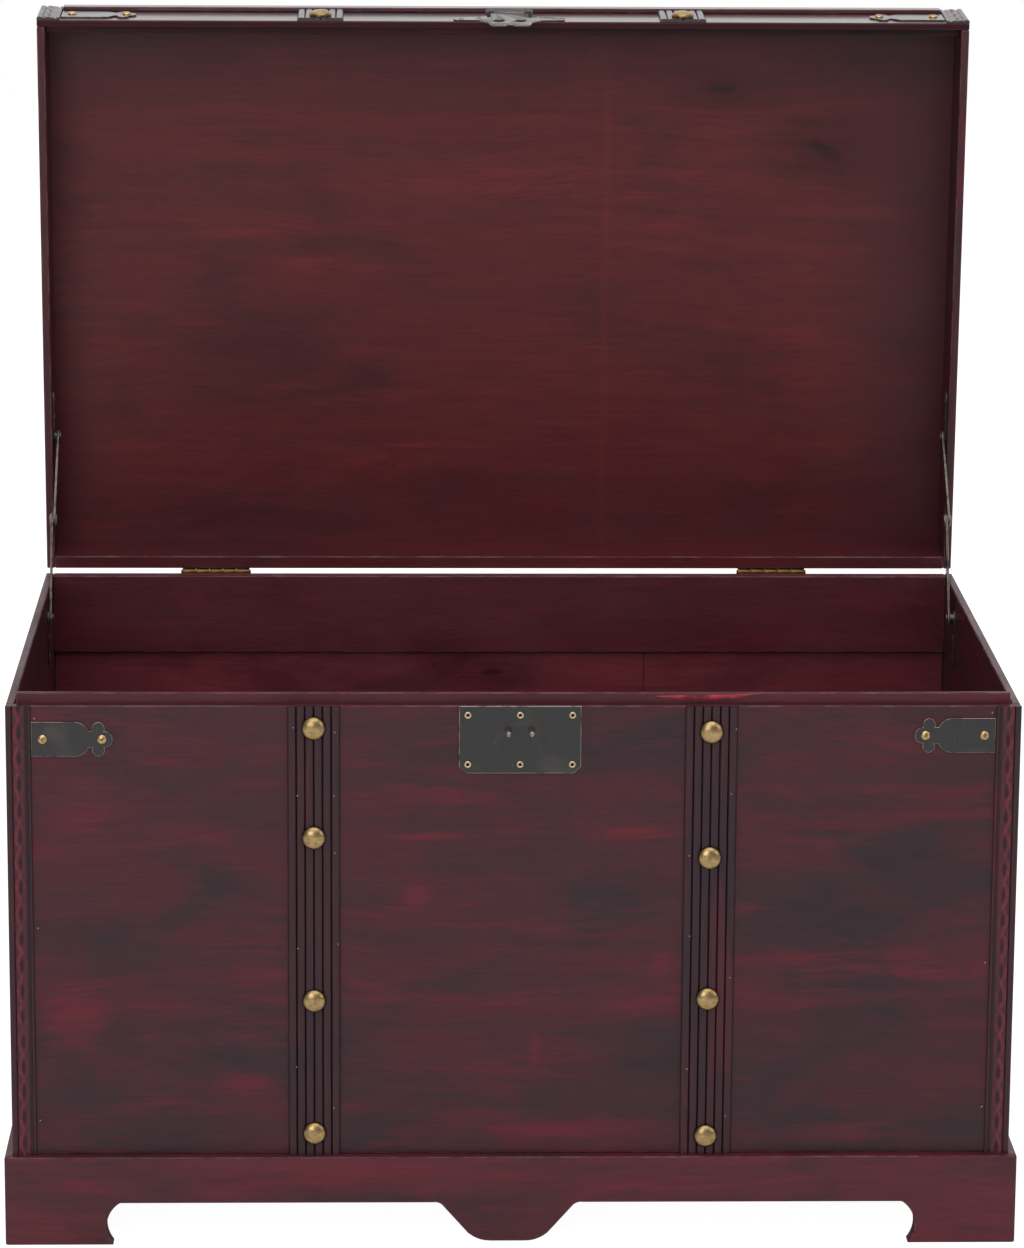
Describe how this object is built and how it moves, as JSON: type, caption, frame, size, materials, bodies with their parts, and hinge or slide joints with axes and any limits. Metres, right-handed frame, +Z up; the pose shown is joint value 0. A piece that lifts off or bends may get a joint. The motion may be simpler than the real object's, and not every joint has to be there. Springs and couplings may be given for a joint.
{
  "type": "nagamochi chest",
  "caption": "Red-stained wooden storage chest on a footed plinth, with a hinged lid, lid stays, a hasp and drop handles.",
  "frame": {"origin": "on the floor, in the middle of the room that the open chest takes up", "axes": "+X to the chest's right as seen from the front, +Y to the back, +Z up; the lid stands open"},
  "size_m": [0.6692, 0.4556, 0.7661],
  "materials": {
    "red_stained_wood": "stained and worn, satin",
    "blackened_steel": "blackened, worn satin",
    "brass": "aged, satin",
    "bright_steel": "dull"
  },
  "bodies": {
    "case": {"plinth_front": "red_stained_wood", "plinth_back": "red_stained_wood", "plinth_left": "red_stained_wood", "plinth_right": "red_stained_wood", "cleats_long": "red_stained_wood", "cleats_short": "red_stained_wood", "bottom_board": "red_stained_wood", "front_panel": "red_stained_wood", "back_panel": "red_stained_wood", "side_panel_left": "red_stained_wood", "side_panel_right": "red_stained_wood", "front_lip": "red_stained_wood", "back_rail": "red_stained_wood", "corner_moulding_left": "red_stained_wood", "corner_moulding_right": "red_stained_wood", "front_batten_left": "red_stained_wood", "front_batten_right": "red_stained_wood", "lock_plate": "blackened_steel", "corner_bracket_left": "blackened_steel", "corner_bracket_right": "blackened_steel", "handle_plate_left": "blackened_steel", "handle_plate_right": "blackened_steel", "stay_case_plates": "blackened_steel", "dome_nails": "brass", "hinge_leaf_case_left": "brass", "hinge_leaf_case_right": "brass", "hinge_pins": "brass", "bracket_nails": "brass", "lock_rivets": "bright_steel", "lock_studs": "bright_steel", "case_screws": "bright_steel"},
    "lid": {"lid_top_board": "red_stained_wood", "lid_front_skirt": "red_stained_wood", "lid_front_liner": "red_stained_wood", "lid_back_skirt": "red_stained_wood", "lid_side_skirt_left": "red_stained_wood", "lid_side_skirt_right": "red_stained_wood", "lid_front_cap": "red_stained_wood", "lid_moulding_left": "red_stained_wood", "lid_moulding_right": "red_stained_wood", "lid_batten_left": "red_stained_wood", "lid_batten_right": "red_stained_wood", "lid_bracket_left": "blackened_steel", "lid_bracket_right": "blackened_steel", "hasp_bracket": "blackened_steel", "hasp_pin": "blackened_steel", "stay_lid_plates": "blackened_steel", "lid_dome_nails": "brass", "hinge_leaf_lid_left": "brass", "hinge_leaf_lid_right": "brass", "lid_bracket_nails": "brass", "lid_screws": "bright_steel"},
    "hasp": {"hasp_plate": "blackened_steel"},
    "stay_lower_left": {"stay_lower_arm_left": "blackened_steel"},
    "stay_upper_left": {"stay_upper_arm_left": "blackened_steel"},
    "stay_lower_right": {"stay_lower_arm_right": "blackened_steel"},
    "stay_upper_right": {"stay_upper_arm_right": "blackened_steel"},
    "handle_bail_left": {"handle_bail_left": "blackened_steel"},
    "handle_bail_right": {"handle_bail_right": "blackened_steel"}
  },
  "joints": [
    {"name": "lid_hinge", "type": "hinge", "parent": "case", "child": "lid", "pos_m": [0, 0.18002, 0.3612], "axis": [1, 0, 0], "range_deg": [0, 86.5]},
    {"name": "hasp_pivot", "type": "hinge", "parent": "lid", "child": "hasp", "pos_m": [0.0036, 0.16543, 0.76366], "axis": [-1, 0, 0], "range_deg": [0, 170]},
    {"name": "stay_lower_left", "type": "hinge", "parent": "case", "child": "stay_lower_left", "pos_m": [-0.317, 0.10792, 0.3438], "axis": [1, 0, 0], "range_deg": [0, 125.3]},
    {"name": "stay_upper_left", "type": "hinge", "parent": "lid", "child": "stay_upper_left", "pos_m": [-0.317, 0.18952, 0.45821], "axis": [1, 0, 0], "range_deg": [-90.5, 0]},
    {"name": "stay_lower_right", "type": "hinge", "parent": "case", "child": "stay_lower_right", "pos_m": [0.317, 0.10792, 0.3438], "axis": [1, 0, 0], "range_deg": [0, 125.3]},
    {"name": "stay_upper_right", "type": "hinge", "parent": "lid", "child": "stay_upper_right", "pos_m": [0.317, 0.18952, 0.45821], "axis": [1, 0, 0], "range_deg": [-90.5, 0]},
    {"name": "handle_left", "type": "hinge", "parent": "case", "child": "handle_bail_left", "pos_m": [-0.3304, -0.02008, 0.232], "axis": [0, 1, 0], "range_deg": [0, 170]},
    {"name": "handle_right", "type": "hinge", "parent": "case", "child": "handle_bail_right", "pos_m": [0.3304, -0.02008, 0.232], "axis": [0, -1, 0], "range_deg": [0, 170]}
  ],
  "couplings": [
    {"joint": "stay_lower_left", "follows": "lid_hinge", "ratio": 1.447},
    {"joint": "stay_upper_left", "follows": "lid_hinge", "ratio": -1.045},
    {"joint": "stay_lower_right", "follows": "lid_hinge", "ratio": 1.447},
    {"joint": "stay_upper_right", "follows": "lid_hinge", "ratio": -1.045}
  ]
}
